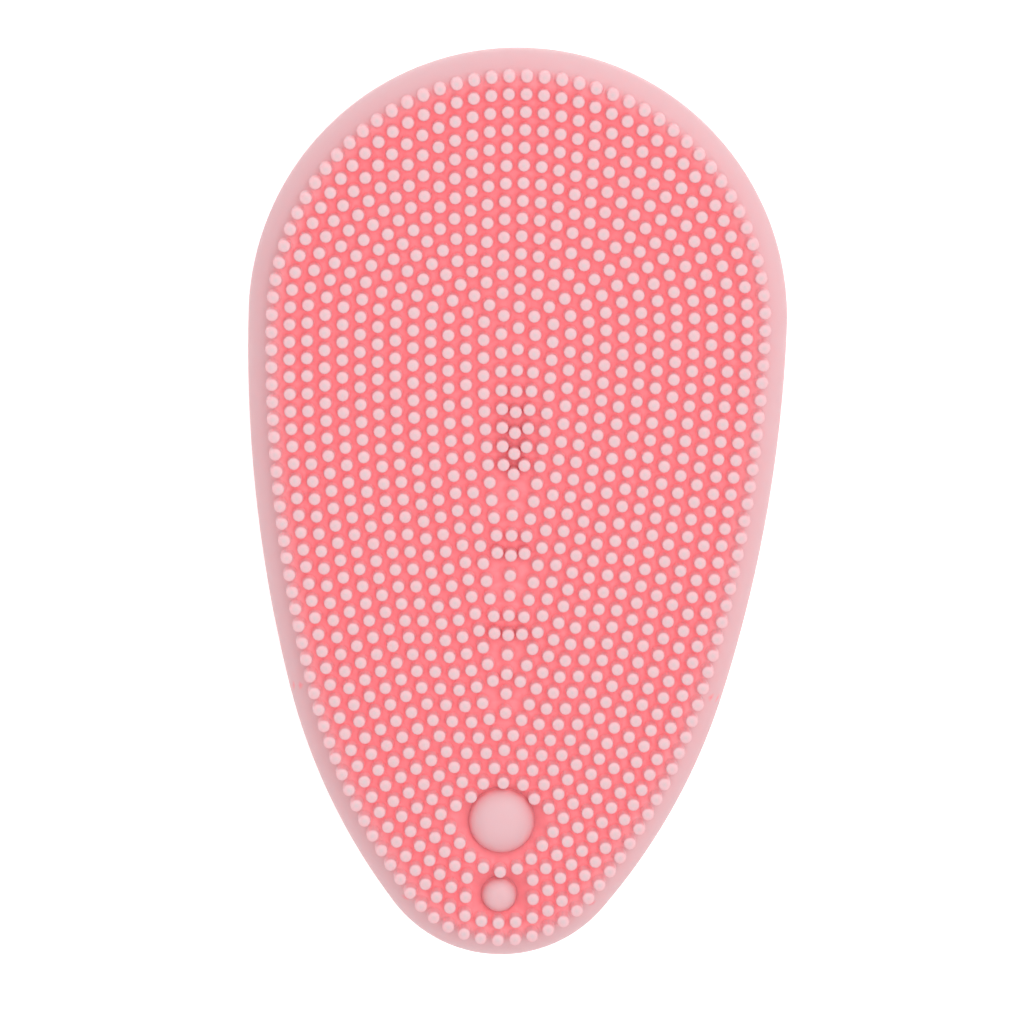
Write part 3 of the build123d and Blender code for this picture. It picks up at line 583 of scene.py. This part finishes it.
def front_skin():
    """Bristle face with its rounded rim, sides, under side and the keys' two holes."""
    sheet = Sheet()
    centres = nub_centres()
    tree = kdtree.KDTree(len(centres))
    for i, (x, y) in enumerate(centres):
        tree.insert((x, y, 0), i)
    tree.balance()
    feet = []
    for x, y in centres:
        rooms = [tree.find_n((x, y, 0), 2)[1][2] / 2]
        rooms += [hypot(x, y - middle(name).y) - HOLES[name] for name in KEYS]
        feet.append(bristle(sheet, x, y, min(NUB_FLARE, min(rooms) - NUB_FLARE_GAP)))
    holes = []
    for name, count in KEYS.items():
        centre = middle(name)
        radius = HOLES[name]
        # A hole's edge gets the painted coral shade of the floor.
        loop = sheet.add(circle(centre.x, centre.y, FLOOR_Z, radius, count), 0.0)
        holes.append((centre, radius, count, loop))
    loose = []
    inset = RIM_SHEET_INSET + LOOSE_STEP
    while inset < LOOSE_END:
        for x, y, _ in ring(inset, 0):
            if tree.find((x, y, 0))[2] > NUB_FLARE + LOOSE_GAP:
                loose.append((x, y, front_level(inset)))
        inset += LOOSE_STEP
    loose = sheet.add(loose, floor_shade_tone)
    rim = sheet.add(ring(RIM_SHEET_INSET, front_level(RIM_SHEET_INSET)), floor_shade_tone)
    sheet.fill(rim, feet + [hole[3] for hole in holes], loose)
    start = asin((FRONT_ROUND - RIM_SHEET_INSET) / FRONT_ROUND)
    angles = [start + (pi / 2 - start) * step / RIM_RINGS for step in range(1, RIM_RINGS + 1)]
    rounded = [(FRONT_ROUND * (1 - sin(a)), FLOOR_Z - FRONT_ROUND * (1 - cos(a))) for a in angles]
    side = stack(sheet, rim, rounded, floor_shade_tone)
    underside = FLOOR_Z - SKIN_WALL
    levels = [(inset, SEAM_Z + rise) for inset, rise in SEAM_EDGE]
    levels += [
        (SKIN_WALL, SEAM_Z + SEAM_GAP),
        (SKIN_WALL, underside - INNER_ROUND),
        (SKIN_WALL + INNER_BEVEL, underside - INNER_BEVEL),
        (SKIN_WALL + INNER_ROUND, underside),
    ]
    inner = stack(sheet, side, levels)
    lower = []
    for centre, radius, count, loop in holes:
        lower.append(sheet.add(circle(centre.x, centre.y, underside, radius, count)))
        sheet.bridge(loop, lower[-1])
    sheet.fill(inner, lower)
    piece = sheet.make("front_skin_surface", SKIN)
    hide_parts("front_skin")
    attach(piece, "housing")


# --- Rear skin ----------------------------------------------------------------------------------
BACK_STEPS = 28              # along the outer round of the back
INNER_STRIDE = 4             # this many of them to one step along the inner round
CONTACT_SEGMENTS = 40
CONTACT_GAP = 0.01 * MM      # contact to the wall of its opening
CONTACT_BEVEL = 0.06 * MM    # contact to the mouth of its opening, and depth of that mouth


def back_round(inset, stride):
    """Insets and heights along the round of the back, from the side to the flat."""
    radius = BACK_ROUND - inset
    angles = [pi / 2 * step / BACK_STEPS for step in range(0, BACK_STEPS + 1, stride)]
    return [(inset + radius * (1 - cos(a)), inset + radius * (1 - sin(a))) for a in angles]


def rear_skin():
    """Rounded back, flat where it rests, with two openings for the charging contacts."""
    sheet = Sheet()
    outer_levels = [(inset, SEAM_Z - rise) for inset, rise in reversed(SEAM_EDGE)]
    outer_levels += back_round(0, 1)
    inner_levels = [(SKIN_WALL, SEAM_Z - SEAM_GAP), *back_round(SKIN_WALL, INNER_STRIDE)]
    edges = []
    for levels in (outer_levels, inner_levels):
        first = sheet.add(ring(*levels[0]))
        edges.append((first, stack(sheet, first, levels[1:])))
    sheet.bridge(edges[0][0], edges[1][0])
    low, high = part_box("charge_contacts")
    radius = (high.y - low.y) / 2
    opening = radius + CONTACT_GAP
    y = (low.y + high.y) / 2
    mouths, tops = [], []
    for x in (low.x + radius, high.x - radius):
        mouths.append(sheet.add(circle(x, y, 0, radius + CONTACT_BEVEL, CONTACT_SEGMENTS)))
        lips = sheet.add(circle(x, y, CONTACT_BEVEL, opening, CONTACT_SEGMENTS))
        tops.append(sheet.add(circle(x, y, SKIN_WALL, opening, CONTACT_SEGMENTS)))
        sheet.bridge(mouths[-1], lips)
        sheet.bridge(lips, tops[-1])
    sheet.fill(edges[0][1], mouths)
    sheet.fill(edges[1][1], tops)
    piece = sheet.make("rear_skin_surface", SKIN)
    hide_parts("rear_skin")
    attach(piece, "housing")


# --- Keys ---------------------------------------------------------------------------------------
CAP_WALL = 0.40 * MM
CAP_GAP = 0.07 * MM          # foot of a crown to the edge of its hole
CORE_GAP = 0.06 * MM         # crown to the core under it
CROWN_POWER = 0.72           # 1 is a half ellipse; smaller is squarer
CROWN_STEPS = 18             # from the top of a crown to its foot
INNER_STEPS = 8              # the same on the inside of a crown and on the core
CROWN_SHADE_FADE = (-0.3, 1.0)     # between these shares of its height a crown turns from painted coral shade to pink; starting below the foot paints the foot lighter against its shade
CROWN_PAINTED_LIGHT = (0.7, 1.0)      # and between these it gets its touch of painted pale light
CROWN_PAINTED_LIGHT_DEPTH = 0.1
STEM_BEVEL = 0.1 * MM


def lathe(sheet, x, y, profile, count):
    """Turns a profile of (radius, height, tone, tip) upright; its two ends lie on the axis."""
    last = None
    for radius, z, tone, tip in profile:
        if radius == 0:
            on_axis = sheet.add([(x, y, z)], tone, tip)[0]
            if last:
                sheet.fan(last, on_axis)
            last = None
            continue
        loop = sheet.add(circle(x, y, z, radius, count), tone, tip)
        if last:
            sheet.bridge(last, loop)
        else:
            sheet.fan(loop, on_axis)
        last = loop


def dome(radius, rise, steps):
    """Profile of a key's crown from its middle to its foot, as (radius, height) pairs."""
    angles = [pi / 2 * step / steps for step in range(steps + 1)]
    return [(radius * sin(a) ** CROWN_POWER, rise * cos(a) ** CROWN_POWER) for a in angles]


def key_cap(name, count):
    """Soft crown and web of a key, built as one piece."""
    centre = middle(name)
    reach = HOLES[name]
    wall = reach - CAP_GAP
    inside = wall - CAP_WALL
    outer = []
    for radius, height in dome(wall, KEY_CROWN_TOP, CROWN_STEPS):
        share = height / KEY_CROWN_TOP
        # Painted pale light near the crown's top, painted coral shade towards its foot, eased
        # lighter at the foot and full coral at the hole's edge.
        pale = CROWN_PAINTED_LIGHT_DEPTH * smooth_step(*CROWN_PAINTED_LIGHT, share)
        outer.append((radius, FLOOR_Z + height, smooth_step(*CROWN_SHADE_FADE, share), pale))
    outer.append((reach, FLOOR_Z, 0.0, 0.0))
    inner = [(reach, FLOOR_Z - CAP_WALL), (inside, FLOOR_Z - CAP_WALL)]
    under_crown = dome(inside, KEY_CROWN_TOP - CAP_WALL, INNER_STEPS)
    inner += [(r, FLOOR_Z + h) for r, h in reversed(under_crown)]
    sheet = Sheet()
    lathe(sheet, centre.x, centre.y, outer + [(r, z, 1.0, 0.0) for r, z in inner], count)
    piece = sheet.make(f"{name}_cap", KEY_SKIN)
    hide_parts(f"{name}_web")
    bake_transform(piece)


def key_core(name, count):
    """Stiffer middle of a key, on the stem that reaches its switch."""
    centre = middle(name)
    low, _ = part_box(name)
    stem = STEM_RADII[name]
    head = HOLES[name] - CAP_GAP - CAP_WALL - CORE_GAP
    rise = KEY_CROWN_TOP - CAP_WALL - CORE_GAP
    under = FLOOR_Z - KEY_HEAD_DEPTH
    profile = [(0, low.z), (stem - STEM_BEVEL, low.z), (stem, low.z + STEM_BEVEL)]
    profile += [(stem, under), (head, under)]
    profile += [(r, FLOOR_Z + h) for r, h in reversed(dome(head, rise, INNER_STEPS))]
    sheet = Sheet()
    lathe(sheet, centre.x, centre.y, [(r, z, 1.0, 0.0) for r, z in profile], count)
    piece = sheet.make(f"{name}_core", KEY_SKIN)
    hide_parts(name)
    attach(piece, name)


# --- Floor, light and camera --------------------------------------------------------------------
CAMERA_DISTANCE = 0.5156
CAMERA_TILT = radians(7.71)      # towards the wide end
CAMERA_YAW = radians(-1.01)      # towards the left
CAMERA_ROLL = radians(1.936)     # the wide end leans to the right
CAMERA_LENS = 182.2
CAMERA_SENSOR = 36
CAMERA_NEAR = 0.01
TARGET = Vector((0.06 * MM, -0.60 * MM, FLOOR_Z - 3.7 * MM))
FLOOR_LEVEL = -0.05 * MM         # just under the flat of the back
FLOOR_REACH = 3.0
FLOOR_WHITES = ((0.93, 0.93, 0.93), (0.90, 0.90, 0.90))
FLOOR_GLOW = 0.45
WHITE = (1, 1, 1, 1)
WORLD_LIGHT = 0.45
KEY_LIGHT = {"place": (0.22, 0.5, 0.55), "size": 0.35, "power": 0.6}
TOP_LIGHT = {"place": (0.07, 0.05, 0.8), "size": 0.6, "power": 3.95}


def set_camera():
    data = bpy.data.cameras.new("camera")
    data.lens = CAMERA_LENS
    data.sensor_width = CAMERA_SENSOR
    data.clip_start = CAMERA_NEAR
    camera = show("camera", data)
    level = cos(CAMERA_TILT)
    back = Vector((sin(CAMERA_YAW) * level, sin(CAMERA_TILT), cos(CAMERA_YAW) * level))
    level_right = Vector((0, 1, 0)).cross(back).normalized()
    level_up = back.cross(level_right)
    right = level_right * cos(CAMERA_ROLL) + level_up * sin(CAMERA_ROLL)
    up = level_up * cos(CAMERA_ROLL) - level_right * sin(CAMERA_ROLL)
    turn = Matrix((right, up, back)).transposed().to_4x4()
    camera.matrix_world = Matrix.Translation(TARGET + back * CAMERA_DISTANCE) @ turn
    bpy.context.scene.camera = camera


def soft_box(name, place, size, power):
    data = bpy.data.lights.new(name, "AREA")
    data.size = size
    data.energy = power
    light = show(name, data)
    light.location = place
    light.rotation_euler = (TARGET - Vector(place)).to_track_quat("-Z", "Y").to_euler()


def floor_finish(name):
    """Matte white with a faint glow, see-through from below."""
    n = Nodes(name)
    n.colour(n.remap(n.noise(6.0), 0.0, 1.0), *FLOOR_WHITES)
    n.set(Roughness=0.9, Emission_Color=WHITE, Emission_Strength=FLOOR_GLOW)
    see_through = n.node("ShaderNodeMixShader")
    n.link(n.node("ShaderNodeNewGeometry").outputs["Backfacing"], see_through.inputs[0])
    n.link(n.surface.outputs[0], see_through.inputs[1])
    n.link(n.node("ShaderNodeBsdfTransparent").outputs[0], see_through.inputs[2])
    n.link(see_through.outputs[0], n.tree.nodes["Material Output"].inputs["Surface"])
    return n.material


def set_stage():
    """Pale floor, white surroundings and soft boxes."""
    mesh = bpy.data.meshes.new("floor")
    reach = FLOOR_REACH
    corners = [(-reach, -reach), (reach, -reach), (reach, reach), (-reach, reach)]
    mesh.from_pydata([(x, y, FLOOR_LEVEL) for x, y in corners], [], [(0, 1, 2, 3)])
    mesh.materials.append(floor_finish("floor"))
    floor = show("floor", mesh)
    world = bpy.data.worlds.new("studio")
    world.use_nodes = True
    background = world.node_tree.nodes["Background"]
    background.inputs["Color"].default_value = WHITE
    background.inputs["Strength"].default_value = WORLD_LIGHT
    bpy.context.scene.world = world
    soft_box("key_light", **KEY_LIGHT)
    soft_box("top_light", **TOP_LIGHT)
    bpy.context.scene.view_settings.view_transform = "Standard"


set_camera()
set_stage()
front_skin()
rear_skin()
for key_name, key_count in KEYS.items():
    key_cap(key_name, key_count)
    key_core(key_name, key_count)
finish_inside()
